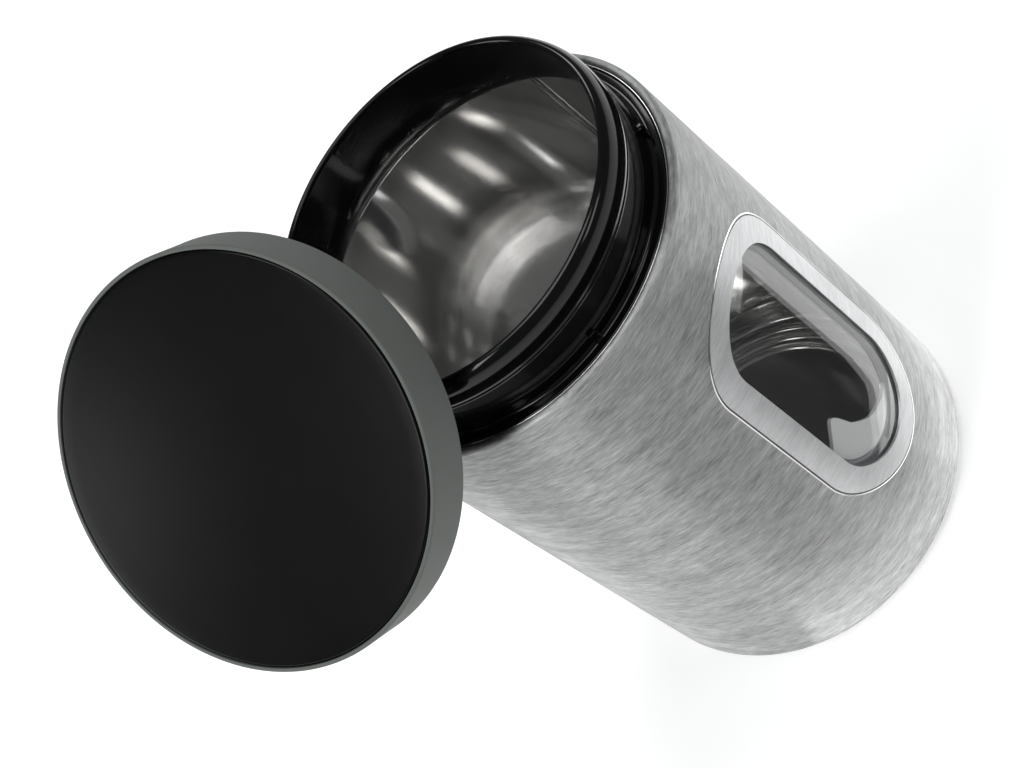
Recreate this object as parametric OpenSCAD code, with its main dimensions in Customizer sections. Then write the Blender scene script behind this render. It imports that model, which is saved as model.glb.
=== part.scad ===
// Vacuum seal canister: brushed steel shell with a window, polished liner,
// black neck collar, and a twist-to-pump lid that is taken off and held beside the neck.
// The origin is the centre of the flat underside, +Z runs up the canister, the window faces -Y.

/* [Shell] */
// Outer diameter of the steel shell
shell_d = 120; // [100:0.5:142]
// Height of the steel shell
shell_h = 163.8; // [150:0.2:190]
// Thickness of the shell sheet
shell_wall = 0.8; // [0.6:0.1:1]
// Radius of the rolled top edge
top_roll_r = 1.5; // [1.2:0.1:1.8]
// Width of the turned-in bottom flange
bottom_flange_w = 3; // [2:0.5:5]
// Radius of the bottom edge
bottom_roll_r = 3; // [2:0.5:4]

/* [Window] */
// Width of the window bezel across its outer edge
bezel_w = 53.9; // [48:0.1:58]
// Width of the bezel's border
bezel_border = 7.5; // [6:0.1:9]
// Room between the shell's top edge and the bezel
window_drop = 23.4; // [16:0.1:34]
// Room between the shell's bottom edge and the bezel
window_foot = 31.8; // [20:0.1:42]
// Dark line left between shell and bezel
bezel_gap = 0.4; // [0.15:0.05:0.5]
// Thickness of the clear pane
pane_t = 1.5; // [1:0.1:1.8]
// How far the pane reaches under the bezel
pane_lap = 3.5; // [2:0.5:5]
// How far the carrier reaches under the shell
carrier_lap = 4; // [2:0.5:6]
// How much lower the bezel's opening reaches than the cut-out in the liner
sill_h = 3; // [0:0.5:6]

/* [Liner] */
// Room between the shell's sheet and the liner's wall
liner_gap = 3.4; // [3.3:0.1:5]
// Thickness of the liner sheet
liner_wall = 0.6; // [0.5:0.05:0.7]
// Radius between the liner's wall and floor
liner_corner_r = 4; // [3:0.5:6]
// Height of the pressed beads
bead_rise = 0.7; // [0.4:0.1:1]
// Width of one pressed bead
bead_w = 2.4; // [1.6:0.2:3]

/* [Neck] */
// Height of the neck over the shell's top edge
neck_h = 21.4; // [18:0.2:26]
// How far the neck's wall stands in from the liner's wall
neck_inset = 1.6; // [1.4:0.1:3]
// Step from the neck's outer wall in to the mouth's edge
mouth_inset = 3.1; // [2.8:0.1:4.5]
// Height of the rounded lip
lip_h = 9; // [7:0.5:11]
// How far the lip stands out from the neck's wall
lip_step = 0.4; // [0.2:0.1:0.5]
// Width of a lug on the neck
lug_w = 2.4; // [1.5:0.1:4]
// Height of a lug on the neck
lug_h = 4; // [3:0.5:6]
// How far a lug stands out
lug_out = 1.2; // [0.8:0.1:2]
// Angle of each lug from the front and back middle
lug_angle = 32.5; // [20:0.5:50]

/* [Base] */
// Height of the shell's bottom edge over the table
foot_rise = 1; // [0.6:0.1:2]
// How far the pad's edge stands in from the shell's bottom flange
pad_inset = 8; // [3:0.5:20]
// Thickness of the pad
pad_t = 1.8; // [1.4:0.1:3]
// Height from the shell's bottom edge to the liner's floor
floor_rise = 6; // [5.5:0.1:10]

/* [Lid] */
// How far the lid's top edge stands out from the neck's lip
lid_overhang = 1.8; // [1.7:0.1:3]
// Height of the lid's outer ring
lid_ring_h = 14.9; // [13:0.1:16]
// How much wider the ring is at its bottom
lid_ring_flare = 0.4; // [0:0.1:0.8]
// Thickness of the lid's cover disc
cover_t = 1.8; // [1.5:0.1:2.2]
// Width of the ring's top edge beside the disc
rim_w = 1.1; // [0.9:0.1:1.3]
// Crown of the cover disc
cover_crown = 0.7; // [0.2:0.1:1.5]

/* [Pump] */
// Radius of the pump's bore as a share of the plug's inner radius
pump_share = 0.46; // [0.42:0.01:0.5]
// Stroke of the piston
pump_stroke = 6; // [4:0.5:6]
// Turn of the cap that makes one stroke, in degrees
pump_turn = 90; // [60:5:95]
// Diameter of a drive pin
pin_d = 2.6; // [2:0.1:2.8]
// Lift of the intake valve
intake_lift = 0.8; // [0.4:0.1:1]
// Lift of the exhaust valve
exhaust_lift = 0.6; // [0.4:0.1:0.8]
// Travel of the air release valve
release_travel = 1.5; // [1:0.1:1.5]

/* [Lid place beside the neck] */
// Sideways place of the lid's top edge circle, as a share of the shell's radius
lid_x_share = -1.27; // [-1.5:0.01:-1.24]
// Front to back place of the lid's top edge circle, as a share of the shell's radius
lid_y_share = 0.467; // [0.4:0.001:0.6]
// Height of the lid's top edge circle over the shell's top, as a share of the shell's radius
lid_rise_share = 0.628; // [0.62:0.001:1]
// Tilt of the lid's axis from upright
lid_tilt = 41.1; // [38:0.1:44]
// Compass direction that the lid's axis leans towards
lid_lean = 195.1; // [190:0.1:200]

/* [Hidden] */
$fn = 96;

// One overrun for every cut
cut = 1;
// Gap between seated pieces of one body
seat = 0.1;
// Gap between pieces that move past each other
run = 0.3;
// Steps in a rounded edge of a profile
arc_steps = 8;

// Shell
shell_r = shell_d / 2;
shell_in_r = shell_r - shell_wall;
shell_bottom = foot_rise;
shell_top = shell_bottom + shell_h;
hem_h = 3;
hem_r = shell_r - top_roll_r - shell_wall;

// Window
bezel_h = shell_h - window_drop - window_foot;
window_z = shell_bottom + window_foot + bezel_h / 2;
bezel_hw = bezel_w / 2;
opening_hw = bezel_hw - bezel_border;
opening_h = bezel_h - 2 * bezel_border;
pane_out_r = shell_in_r - 2 * seat;
pane_in_r = pane_out_r - pane_t;
gasket_t = 0.6;
gasket_border = 3;
cutout_hw = opening_hw - 1.5 * shell_wall;
cutout_h = opening_h - sill_h - 1.5 * shell_wall;
cutout_z = window_z + sill_h / 2;

// Liner
liner_r = shell_in_r - liner_gap - liner_wall;
liner_out_r = liner_r + liner_wall;
liner_floor = shell_bottom + floor_rise;
groove_depth = 0.8;
flange_drop = 0.6;
skirt_drop = 3.6;
rim_gasket_t = 0.6;
liner_top = shell_top - flange_drop - groove_depth - rim_gasket_t;
// Places of the beads: rings on the floor counted in from the wall, rings on the wall counted up
floor_bead_in = 4.8;
floor_bead_step = 3.6;
floor_bead_count = 3;
wall_bead_up = 6.5;
wall_bead_step = 10.5;
wall_bead_count = 2;
// Outline of a bead, as shares of its half width and rise
bead_shares = [[-1, 0], [-0.6, 0.35], [-0.25, 0.9], [0, 1], [0.25, 0.9], [0.6, 0.35], [1, 0]];

// Neck collar
neck_r = liner_r - neck_inset;
mouth_r = neck_r - mouth_inset;
lip_r = neck_r + lip_step;
neck_top = shell_top + neck_h;
crease_z = neck_top - lip_h;
mouth_edge_w = 0.7;
mouth_edge_h = 0.8;
mouth_edge_end = 170;
lip_crown_r = mouth_r + mouth_edge_w;
lip_drop = 5.5;
foot_fillet_r = 1.2;
flange_top = shell_top - flange_drop;
shadow_gap = 0.9;
flange_r = hem_r - shadow_gap;
skirt_out_r = liner_r - seat;
skirt_tip = 0.4;
flare_power = 7;
flare_steps = 16;
lower_wall_r = liner_out_r + seat;
lower_wall_h = 8.4;
trim_w = 0.5;
trim_h = 3.4;
trim_rise = 0.1;

// Base
flange_in_r = shell_r - bottom_roll_r - bottom_flange_w;
flange_up = shell_bottom + shell_wall;
plate_t = 3;
plate_top = shell_bottom + plate_t;
pad_r = flange_in_r - pad_inset;
cushion_in = 12.8;
cushion_out_r = liner_r - liner_corner_r - cushion_in;
cushion_w = 12;

// Lid, in its own frame: z = 0 is the plane that rests on the neck's lip
lid_x = lid_x_share * shell_r;
lid_y = lid_y_share * shell_r;
lid_rise = lid_rise_share * shell_r;
lid_r = lip_r + lid_overhang;
gasket_h = 1.2;
base_flange_t = 1.6;
base_flange_z = gasket_h + base_flange_t;
slip_t = 0.35;
slip_play = 0.05;
cover_z = base_flange_z + slip_t + slip_play;
lid_edge_z = cover_z + cover_t;
ring_bottom_z = lid_edge_z - lid_ring_h;
ring_ledge_w = 0.5;
ring_in_r = lid_r - rim_w - ring_ledge_w;
ring_foot_r = lid_r + lid_ring_flare / 2;
ring_round = 0.5;
seam_w = 0.15;
cover_r = lid_r - rim_w - seam_w;
cover_round = 1;
base_play = 0.4;
base_r = ring_in_r - base_play;
plug_play = 0.9;
plug_r = mouth_r - plug_play;
plug_wall = 1.6;
plug_in_r = plug_r - plug_wall;
plug_depth = 7;
ledge_w = 2;
ledge_t = 0.8;
ledge_slope = 0.4;
ledge_in_r = plug_in_r - ledge_w;
deck_drop = 5;
deck_z = -deck_drop;
deck_t = 1.6;
deck_top = deck_z + deck_t;
rib_count = 12;
rib_t = 1.4;

// Snap hooks under the cover
hook_wall = 1.2;
hook_play = 0.4;
hook_out_r = ledge_in_r - hook_play;
hook_reach = 1;
hook_bottom = -hook_reach;
barb_h = 0.8;
barb_w = 1.2;
barb_out_r = hook_out_r + barb_w;
hook_count = 6;
hook_slot_w = 10;

// Pump
pump_r = pump_share * plug_in_r;
pump_wall = 2.6;
pump_depth = 15.4;
pump_floor = -pump_depth;
pump_floor_t = 1.6;
pump_play = 0.4;
pump_top = base_flange_z - pump_play;
piston_r = pump_r - run;
piston_floor_t = 1.4;
piston_bottom = pump_floor + run;
piston_floor_top = piston_bottom + piston_floor_t;
piston_top = cover_z - pump_play - pump_stroke;
pin_r = pin_d / 2;
drum_foot = 0.7;
drum_bottom = piston_floor_top + pump_stroke + run;
pin_z = drum_bottom + pin_r + drum_foot;
stem_in_share = 0.29;
stem_in_r = stem_in_share * pump_r;
stem_wall = 2.8;
stem_out_r = stem_in_r + stem_wall;
stem_head = 0.4;
stem_top = pin_z + pin_r + stem_head;
stem_plate_drop = 1.6;
stem_plate_z = pin_z - stem_plate_drop;
stem_plate_t = 1.2;
drum_play = 0.4;
drum_in_r = stem_out_r + drum_play;
drum_wall = 2.8;
drum_out_r = drum_in_r + drum_wall;
drum_head_w = 2;
drum_head_r = drum_out_r + drum_head_w;
drum_head_t = 1;
piston_rim_gap = 1.1;
piston_rim_in_r = drum_head_r + piston_rim_gap;
boss_h = 0.6;
pin_count = 3;
pin_fit = 0.05;
pin_back = 0.6;
pin_seat_r = stem_in_r + pin_back;
pin_reach = drum_out_r - run;
slot_play = 0.25;
slot_half = pin_r + slot_play;
slot_mid_r = (drum_in_r + drum_out_r) / 2;
// Climb of the slot per degree of turn, its slope and its half width seen from above
slot_climb = pump_stroke / pump_turn;
slot_slope = atan(slot_climb * 180 / (PI * slot_mid_r));
slot_half_angle = slot_half / sin(slot_slope) / slot_mid_r * 180 / PI;
slot_end = pin_r + run;
seal_rise = 1.6;
seal_groove_z = piston_bottom + seal_rise;
seal_h = 2;
seal_w = 1.3;
key_h = 2;
key_w = 2.4;
key_out = 0.9;
key_play = 0.5;
key_groove_z = piston_top - key_h - key_play;

// Valves, their discs and ports as shares of the stem's bore
valve_rest = 0.1;
intake_share = 0.78;
intake_r = intake_share * stem_in_r;
intake_t = 0.6;
valve_stem_r = 1.2;
valve_stem_play = 0.2;
valve_stem_hole_r = valve_stem_r + valve_stem_play;
port_share = 0.125;
port_r = port_share * stem_in_r;
port_ring_share = 0.5;
port_ring_r = port_ring_share * stem_in_r;
port_count = 6;
stem_tip = 0.8;
exhaust_share = 0.53;
exhaust_r = exhaust_share * stem_in_r;
exhaust_t = 0.6;
exhaust_stem_r = 0.9;
exhaust_ring_share = 0.344;
exhaust_port_ring_r = exhaust_ring_share * stem_in_r;
exhaust_port_share = 0.078;
exhaust_port_r = exhaust_port_share * stem_in_r;

// Air release valve
release_r = (pump_r + pump_wall + plug_in_r) / 2;
release_at = 60;
release_stem_r = 1.6;
release_hole_r = release_stem_r + run;
release_disc_r = 4.5;
release_disc_t = 1.2;
release_seal_t = 0.6;
release_head_r = 3;
release_head_t = 1;
release_head_drop = 1;
release_head_z = cover_z - release_head_drop - release_head_t;
wire_r = 0.25;
coil_play = 0.9;
coil_r = release_stem_r + coil_play;
coil_turns = 4;
coil_steps = 12;
coil_sides = 6;
ramp_lag = 22;
ramp_l = 7;
ramp_w = 5;
ramp_tip_z = release_head_z;

// Points on a circle's arc, for profiles
function arc(cx, cy, rx, ry, from, to) =
    [for (i = [0:arc_steps]) let (t = from + (to - from) * i / arc_steps)
        [cx + rx * cos(t), cy + ry * sin(t)]];

// A list of points in the opposite order
function backwards(points) = [for (i = [len(points) - 1:-1:0]) points[i]];

// A plain tube
module tube(outer_r, inner_r, low, high) {
    translate([0, 0, low])
    difference() {
        cylinder(r = outer_r, h = high - low);
        translate([0, 0, -cut]) cylinder(r = inner_r, h = high - low + 2 * cut);
    }
}

// A long hole's outline with round ends, upright
module round_ended(half_w, height) {
    square([2 * half_w, height - 2 * half_w], center = true);
    for (side = [-1, 1])
        translate([0, side * (height / 2 - half_w)]) circle(r = half_w);
}

// Sends an outline out through the front of the canister
module through_front(mid_z) {
    translate([0, 0, mid_z]) rotate([90, 0, 0]) linear_extrude(shell_r + cut) children();
}

// The shell: rolled in at the top with a hem, turned in at the bottom, cut for the window
function shell_profile() = concat(
    [[flange_in_r, shell_bottom]],
    arc(shell_r - bottom_roll_r, shell_bottom + bottom_roll_r, bottom_roll_r, bottom_roll_r, -90, 0),
    arc(shell_r - top_roll_r, shell_top - top_roll_r, top_roll_r, top_roll_r, 0, 90),
    [[hem_r, shell_top - (top_roll_r - shell_wall)],
     [hem_r, shell_top - hem_h],
     [hem_r + shell_wall, shell_top - hem_h],
     [hem_r + shell_wall, shell_top - 2 * shell_wall],
     [shell_in_r, shell_top - 2 * shell_wall - (shell_in_r - hem_r - shell_wall)]],
    backwards(arc(shell_r - bottom_roll_r, shell_bottom + bottom_roll_r,
                  bottom_roll_r - shell_wall, bottom_roll_r - shell_wall, -90, 0)),
    [[flange_in_r, flange_up]]);

module outer_shell() {
    color("silver")
    difference() {
        rotate_extrude() polygon(shell_profile());
        through_front(window_z) round_ended(bezel_hw + bezel_gap, bezel_h + 2 * bezel_gap);
    }
}

// The bezel: a curved frame flush with the shell
module window_bezel() {
    color("gainsboro")
    intersection() {
        tube(shell_r, shell_in_r, shell_bottom, shell_top);
        through_front(window_z)
        difference() {
            round_ended(bezel_hw, bezel_h);
            round_ended(opening_hw, opening_h);
        }
    }
}

// The pane: a clear curved plate just behind the bezel
module window_pane() {
    color("lightcyan", 0.4)
    intersection() {
        tube(pane_out_r, pane_in_r, shell_bottom, shell_top);
        through_front(window_z) round_ended(opening_hw + pane_lap, opening_h + 2 * pane_lap);
    }
}

// The carrier: holds the pane in a pocket and the bezel on its face
module window_carrier() {
    pocket_lap = pane_lap + seat;
    color("lightgray")
    difference() {
        intersection() {
            tube(shell_in_r - seat, liner_out_r + gasket_t + 2 * seat, shell_bottom, shell_top);
            through_front(window_z) round_ended(bezel_hw + carrier_lap, bezel_h + 2 * carrier_lap);
        }
        intersection() {
            tube(shell_r, pane_in_r - seat, shell_bottom, shell_top);
            through_front(window_z)
                round_ended(opening_hw + pocket_lap, opening_h + 2 * pocket_lap);
        }
        through_front(cutout_z) round_ended(cutout_hw, cutout_h);
    }
}

// The gasket: seals the carrier to the liner round the cut-out
module window_gasket() {
    color("dimgray")
    intersection() {
        tube(liner_out_r + seat + gasket_t, liner_out_r + seat, shell_bottom, shell_top);
        through_front(cutout_z)
        difference() {
            round_ended(cutout_hw + gasket_border, cutout_h + 2 * gasket_border);
            round_ended(cutout_hw, cutout_h);
        }
    }
}

// One face of the liner's sheet, from the middle of the floor to the rim
function liner_face(out) = concat(
    [[0, liner_floor - out]],
    [for (i = [floor_bead_count - 1:-1:0]) for (s = bead_shares)
        [liner_r - floor_bead_in - i * floor_bead_step + s[0] * bead_w / 2,
         liner_floor - out + s[1] * bead_rise]],
    arc(liner_r - liner_corner_r, liner_floor + liner_corner_r,
        liner_corner_r + out, liner_corner_r + out, -90, 0),
    [for (i = [0:wall_bead_count - 1]) for (s = bead_shares)
        [liner_r + out - s[1] * bead_rise,
         liner_floor + wall_bead_up + i * wall_bead_step + s[0] * bead_w / 2]],
    [[liner_r + out, liner_top]]);

module liner() {
    color("whitesmoke")
    difference() {
        rotate_extrude() polygon(concat(liner_face(0), backwards(liner_face(liner_wall))));
        through_front(cutout_z) round_ended(cutout_hw, cutout_h);
    }
}

// The cushion: a soft ring under the liner's floor
module liner_cushion() {
    color("dimgray")
    tube(cushion_out_r, cushion_out_r - cushion_w, plate_top, liner_floor - liner_wall);
}

// The base plate: closes the shell on its turned-in flange, with a recess for the pad
module base_plate() {
    outline = [
        [0, pad_t],
        [pad_r + seat, pad_t],
        [pad_r + seat, shell_bottom],
        [flange_in_r - seat, shell_bottom],
        [flange_in_r - seat, flange_up],
        [shell_r - bottom_roll_r - seat, flange_up],
        [shell_in_r - seat, shell_bottom + bottom_roll_r],
        [shell_in_r - seat, plate_top + 1.5 * shell_wall],
        [shell_in_r - seat - 2 * shell_wall, plate_top + 1.5 * shell_wall],
        [shell_in_r - seat - 3 * shell_wall, plate_top],
        [0, plate_top]];
    color("#202020") rotate_extrude() polygon(outline);
}

module base_pad() {
    color("#101010") cylinder(r = pad_r, h = pad_t);
}

// One side of the neck's inner wall, flaring out towards the liner
function neck_inside() =
    let (top = neck_top - mouth_edge_h, low = shell_top - skirt_drop)
    [for (i = [0:flare_steps]) let (t = i / flare_steps)
        [mouth_r + (skirt_out_r - skirt_tip - mouth_r) * pow(t, flare_power), top + (low - top) * t]];

function collar_profile() = concat(
    [[flange_r, flange_top - lower_wall_h],
     [flange_r, flange_top]],
    backwards(arc(neck_r + foot_fillet_r, flange_top + foot_fillet_r,
                  foot_fillet_r, foot_fillet_r, 180, 270)),
    [[neck_r, crease_z - lip_step],
     [lip_r, crease_z + 2 * lip_step]],
    arc(lip_crown_r, neck_top - lip_drop, lip_r - lip_crown_r, lip_drop, 0, 90),
    arc(lip_crown_r, neck_top - mouth_edge_h, lip_crown_r - mouth_r, mouth_edge_h, 90, mouth_edge_end),
    neck_inside(),
    [[skirt_out_r, shell_top - skirt_drop],
     [skirt_out_r, flange_top - groove_depth],
     [lower_wall_r, flange_top - groove_depth],
     [lower_wall_r, flange_top - lower_wall_h]]);

// The collar: the black neck with its rounded lip, foot flange and small lugs
module neck_collar() {
    color("#181818")
    union() {
        rotate_extrude() polygon(collar_profile());
        for (face = [-90, 90])
            for (side = [-lug_angle, lug_angle])
                rotate([0, 0, face + side])
                translate([neck_r - lug_out, -lug_w / 2, flange_top])
                cube([2 * lug_out, lug_w, lug_h + flange_drop]);
    }
}

module collar_gasket() {
    color("dimgray")
    tube(liner_out_r, liner_r, liner_top, liner_top + rim_gasket_t);
}

// The trim ring: a thin bright ring between the collar and the shell's rolled edge
module trim_ring() {
    color("silver")
    tube(flange_r + seat + trim_w, flange_r + seat, flange_top + trim_rise - trim_h,
         flange_top + trim_rise);
}

// Puts lid pieces at the place beside the neck where the lid is held
module beside_neck() {
    translate([lid_x, lid_y, shell_top + lid_rise])
    rotate([0, lid_tilt, lid_lean])
    translate([0, 0, -lid_edge_z])
    children();
}

// The cover: a crowned disc with a ring of snap hooks, a centring boss and the release ramp
module lid_cover() {
    crown_steps = 6;
    disc = concat(
        [[0, cover_z], [cover_r, cover_z]],
        arc(cover_r - cover_round, lid_edge_z - cover_round, cover_round, cover_round, 0, 90),
        [for (i = [1:crown_steps]) let (t = i / crown_steps)
            [(cover_r - cover_round) * (1 - t), lid_edge_z + cover_crown * sin(90 * t)]]);
    hook = [
        [hook_out_r - hook_wall, cover_z + cover_t / 2],
        [hook_out_r - hook_wall, hook_bottom],
        [hook_out_r, hook_bottom],
        [barb_out_r, hook_bottom + barb_h],
        [hook_out_r, hook_bottom + barb_h],
        [hook_out_r, cover_z + cover_t / 2]];
    color("#1c1c1c")
    beside_neck()
    union() {
        rotate_extrude() polygon(disc);
        difference() {
            rotate_extrude() polygon(hook);
            for (i = [0:hook_count - 1])
                rotate([0, 0, i * 360 / hook_count])
                translate([hook_out_r, 0, hook_bottom - cut])
                linear_extrude(cover_z - hook_bottom + cut)
                square([4 * ledge_w, hook_slot_w], center = true);
        }
        translate([0, 0, cover_z - boss_h]) cylinder(r = drum_in_r - seat, h = 2 * boss_h);
        rotate([0, 0, release_at + ramp_lag])
        translate([release_r, 0, cover_z])
        rotate([90, 0, 90])
        translate([0, 0, -ramp_w / 2])
        linear_extrude(ramp_w)
        polygon([[-ramp_l / 2, cover_t / 2], [-ramp_l / 2, -seat], [0, ramp_tip_z - cover_z],
                 [ramp_l / 2, ramp_tip_z - cover_z], [ramp_l / 2, cover_t / 2]]);
    }
}

// The ring: the lid's side wall, with a ledge for the cover
module lid_ring() {
    outline = concat(
        [[ring_in_r, cover_z], [ring_in_r, ring_bottom_z]],
        arc(ring_foot_r - ring_round, ring_bottom_z + ring_round, ring_round, ring_round, -90, 0),
        arc(lid_r - ring_round, lid_edge_z - ring_round, ring_round, ring_round, 0, 90),
        [[lid_r - rim_w, lid_edge_z], [lid_r - rim_w, cover_z]]);
    color("#4a504d") beside_neck() rotate_extrude() polygon(outline);
}

// The drum: hangs under the cover, its helical slots lift the piston's pins
module cam_drum() {
    slot_low = pin_z - slot_end;
    slot_high = pin_z + pump_stroke + slot_end;
    near_r = drum_in_r - cut;
    far_r = drum_out_r + cut;
    color("ivory")
    beside_neck()
    difference() {
        union() {
            tube(drum_out_r, drum_in_r, drum_bottom, cover_z);
            tube(drum_head_r, drum_in_r, cover_z - drum_head_t, cover_z);
        }
        for (i = [0:pin_count - 1])
            rotate([0, 0, i * 360 / pin_count + slot_end / slot_climb])
            translate([0, 0, slot_low])
            linear_extrude(height = slot_high - slot_low,
                           twist = (slot_high - slot_low) / slot_climb, slices = 36, $fn = 6)
            polygon([
                [near_r * cos(slot_half_angle), -near_r * sin(slot_half_angle)],
                [far_r * cos(slot_half_angle), -far_r * sin(slot_half_angle)],
                [far_r, 0],
                [far_r * cos(slot_half_angle), far_r * sin(slot_half_angle)],
                [near_r * cos(slot_half_angle), near_r * sin(slot_half_angle)]]);
    }
}

// The base of the lid: sealing flange, plug, deck, ribs and the pump's cylinder
module lid_base() {
    plug = [
        [plug_in_r, -plug_depth],
        [plug_r - plug_wall / 2, -plug_depth],
        [plug_r, -plug_depth + plug_wall / 2],
        [plug_r, gasket_h],
        [base_r, gasket_h],
        [base_r, base_flange_z],
        [plug_in_r, base_flange_z],
        [plug_in_r, ledge_t],
        [ledge_in_r, ledge_t],
        [ledge_in_r, 0],
        [plug_in_r, -ledge_slope]];
    color("#2a2a2a")
    beside_neck()
    difference() {
        union() {
            rotate_extrude() polygon(plug);
            tube(plug_in_r + plug_wall / 2, pump_r, deck_z, deck_top);
            tube(pump_r + pump_wall, pump_r, pump_floor - pump_floor_t, pump_top);
            translate([0, 0, pump_floor - pump_floor_t])
                cylinder(r = pump_r + pump_wall / 2, h = pump_floor_t);
            for (i = [0:rib_count - 1])
                rotate([0, 0, (i + 0.5) * 360 / rib_count])
                translate([pump_r + pump_wall / 2, -rib_t / 2, -plug_depth])
                cube([plug_in_r - pump_r, rib_t, plug_depth + deck_z + deck_t / 2]);
        }
        for (i = [0:pin_count - 1])
            rotate([0, 0, (i + 0.5) * 360 / pin_count])
            translate([0, -key_w / 2 - run, key_groove_z])
            cube([piston_r + key_out + run, key_w + 2 * run, pump_top - key_groove_z + cut]);
        translate([0, 0, pump_floor - pump_floor_t - cut])
            cylinder(r = valve_stem_hole_r, h = pump_floor_t + 2 * cut);
        for (i = [0:port_count - 1])
            rotate([0, 0, i * 360 / port_count])
            translate([port_ring_r, 0, pump_floor - pump_floor_t - cut])
            cylinder(r = port_r, h = pump_floor_t + 2 * cut);
        rotate([0, 0, release_at])
        translate([release_r, 0, -plug_depth - cut])
        cylinder(r = release_hole_r, h = plug_depth + deck_top + 2 * cut);
    }
}

// The mouth gasket: the soft ring that meets the neck's lip
module mouth_gasket() {
    color("#8a8f8c")
    beside_neck()
    rotate_extrude()
    polygon([[plug_r + seat, gasket_h], [plug_r + seat, gasket_h / 3], [lip_crown_r, 0],
             [base_r - 2 * gasket_h, 0], [base_r - gasket_h, gasket_h]]);
}

// The slip ring: a smooth washer that the cap turns on
module slip_ring() {
    color("white")
    beside_neck() tube(base_r - run, plug_in_r + run, base_flange_z, base_flange_z + slip_t);
}

// The piston: a cup with a hollow stem for the pins, and keys that stop it turning
module pump_piston() {
    color("gainsboro")
    beside_neck()
    difference() {
        union() {
            tube(piston_r, stem_in_r, piston_bottom, piston_floor_top);
            tube(piston_r, piston_rim_in_r, piston_bottom, piston_top);
            tube(stem_out_r, stem_in_r, piston_bottom, stem_top);
            translate([0, 0, stem_plate_z - stem_plate_t]) cylinder(r = stem_in_r + seat, h = stem_plate_t);
            for (i = [0:pin_count - 1])
                rotate([0, 0, (i + 0.5) * 360 / pin_count])
                translate([piston_r - key_out, -key_w / 2, piston_top - key_h])
                cube([2 * key_out, key_w, key_h]);
        }
        tube(piston_r + cut, piston_r - seal_w, seal_groove_z, seal_groove_z + seal_h);
        for (i = [0:pin_count - 1])
            rotate([0, 0, i * 360 / pin_count])
            translate([0, 0, pin_z])
            rotate([0, 90, 0])
            translate([0, 0, pin_seat_r])
            cylinder(r = pin_r + pin_fit, h = stem_out_r);
        translate([0, 0, stem_plate_z - stem_plate_t - cut])
            cylinder(r = exhaust_stem_r + pin_fit * 2, h = stem_plate_t + 2 * cut);
        for (i = [0:port_count - 1])
            rotate([0, 0, i * 360 / port_count])
            translate([exhaust_port_ring_r, 0, stem_plate_z - stem_plate_t - cut])
            cylinder(r = exhaust_port_r, h = stem_plate_t + 2 * cut);
    }
}

module piston_seal() {
    color("#303030")
    beside_neck()
    tube(pump_r - seat, piston_r - seal_w + pin_fit, seal_groove_z + seat, seal_groove_z + seal_h - seat);
}

module drive_pins() {
    color("silver")
    beside_neck()
    for (i = [0:pin_count - 1])
        rotate([0, 0, i * 360 / pin_count])
        translate([0, 0, pin_z])
        rotate([0, 90, 0])
        translate([0, 0, pin_seat_r + pin_fit])
        cylinder(r = pin_r, h = pin_reach - pin_seat_r - pin_fit);
}

// The intake valve: a soft disc on the pump's floor that lets air in from the canister
module intake_valve() {
    low = pump_floor - pump_floor_t - stem_tip - intake_lift;
    color("#c8c8c4")
    beside_neck()
    union() {
        translate([0, 0, pump_floor + valve_rest]) cylinder(r = intake_r, h = intake_t);
        translate([0, 0, low]) cylinder(r = valve_stem_r, h = pump_floor + valve_rest + intake_t - low);
    }
}

// The exhaust valve: a soft disc on the stem's plate that lets air out of the pump
module exhaust_valve() {
    low = stem_plate_z - stem_plate_t - exhaust_lift - stem_tip;
    color("#c8c8c4")
    beside_neck()
    union() {
        translate([0, 0, stem_plate_z + valve_rest]) cylinder(r = exhaust_r, h = exhaust_t);
        translate([0, 0, low]) cylinder(r = exhaust_stem_r, h = stem_plate_z + valve_rest + exhaust_t - low);
    }
}

// Puts a piece on the air release valve's own axis
module at_release() {
    beside_neck() rotate([0, 0, release_at]) translate([release_r, 0, 0]) children();
}

// The release valve: a poppet whose head the cap's ramp presses to let air in
module release_valve() {
    disc_top = deck_z - valve_rest - release_seal_t;
    color("#b0b0b0")
    at_release()
    union() {
        translate([0, 0, disc_top - release_disc_t]) cylinder(r = release_disc_r, h = release_disc_t);
        translate([0, 0, disc_top - release_disc_t / 2])
            cylinder(r = release_stem_r,
                     h = release_head_z + release_head_t / 2 - disc_top + release_disc_t / 2);
        translate([0, 0, release_head_z]) cylinder(r = release_head_r, h = release_head_t);
    }
}

module release_seal() {
    color("#303030")
    at_release()
    tube(release_disc_r - seat, release_stem_r + seat,
         deck_z - valve_rest - release_seal_t, deck_z - valve_rest);
}

// Points of the spring's wire: a ring of points for each step along the helix
function coil_points(low, high) =
    [for (i = [0:coil_turns * coil_steps]) let (t = i / (coil_turns * coil_steps), a = 360 * coil_turns * t)
        for (j = [0:coil_sides - 1]) let (b = 360 * j / coil_sides, out = coil_r + wire_r * cos(b))
            [out * cos(a), out * sin(a), low + (high - low) * t + wire_r * sin(b)]];

function coil_faces() = concat(
    [[for (j = [0:coil_sides - 1]) j]],
    [for (i = [0:coil_turns * coil_steps - 1]) for (j = [0:coil_sides - 1])
        let (k = (j + 1) % coil_sides, a = i * coil_sides, b = (i + 1) * coil_sides)
        each [[a + j, b + j, b + k], [a + j, b + k, a + k]]],
    [[for (j = [coil_sides - 1:-1:0]) coil_turns * coil_steps * coil_sides + j]]);

module release_spring() {
    low = deck_top + wire_r + valve_rest;
    high = release_head_z - wire_r - valve_rest;
    color("silver")
    at_release()
    polyhedron(points = coil_points(low, high), faces = coil_faces(), convexity = 6);
}

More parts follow.
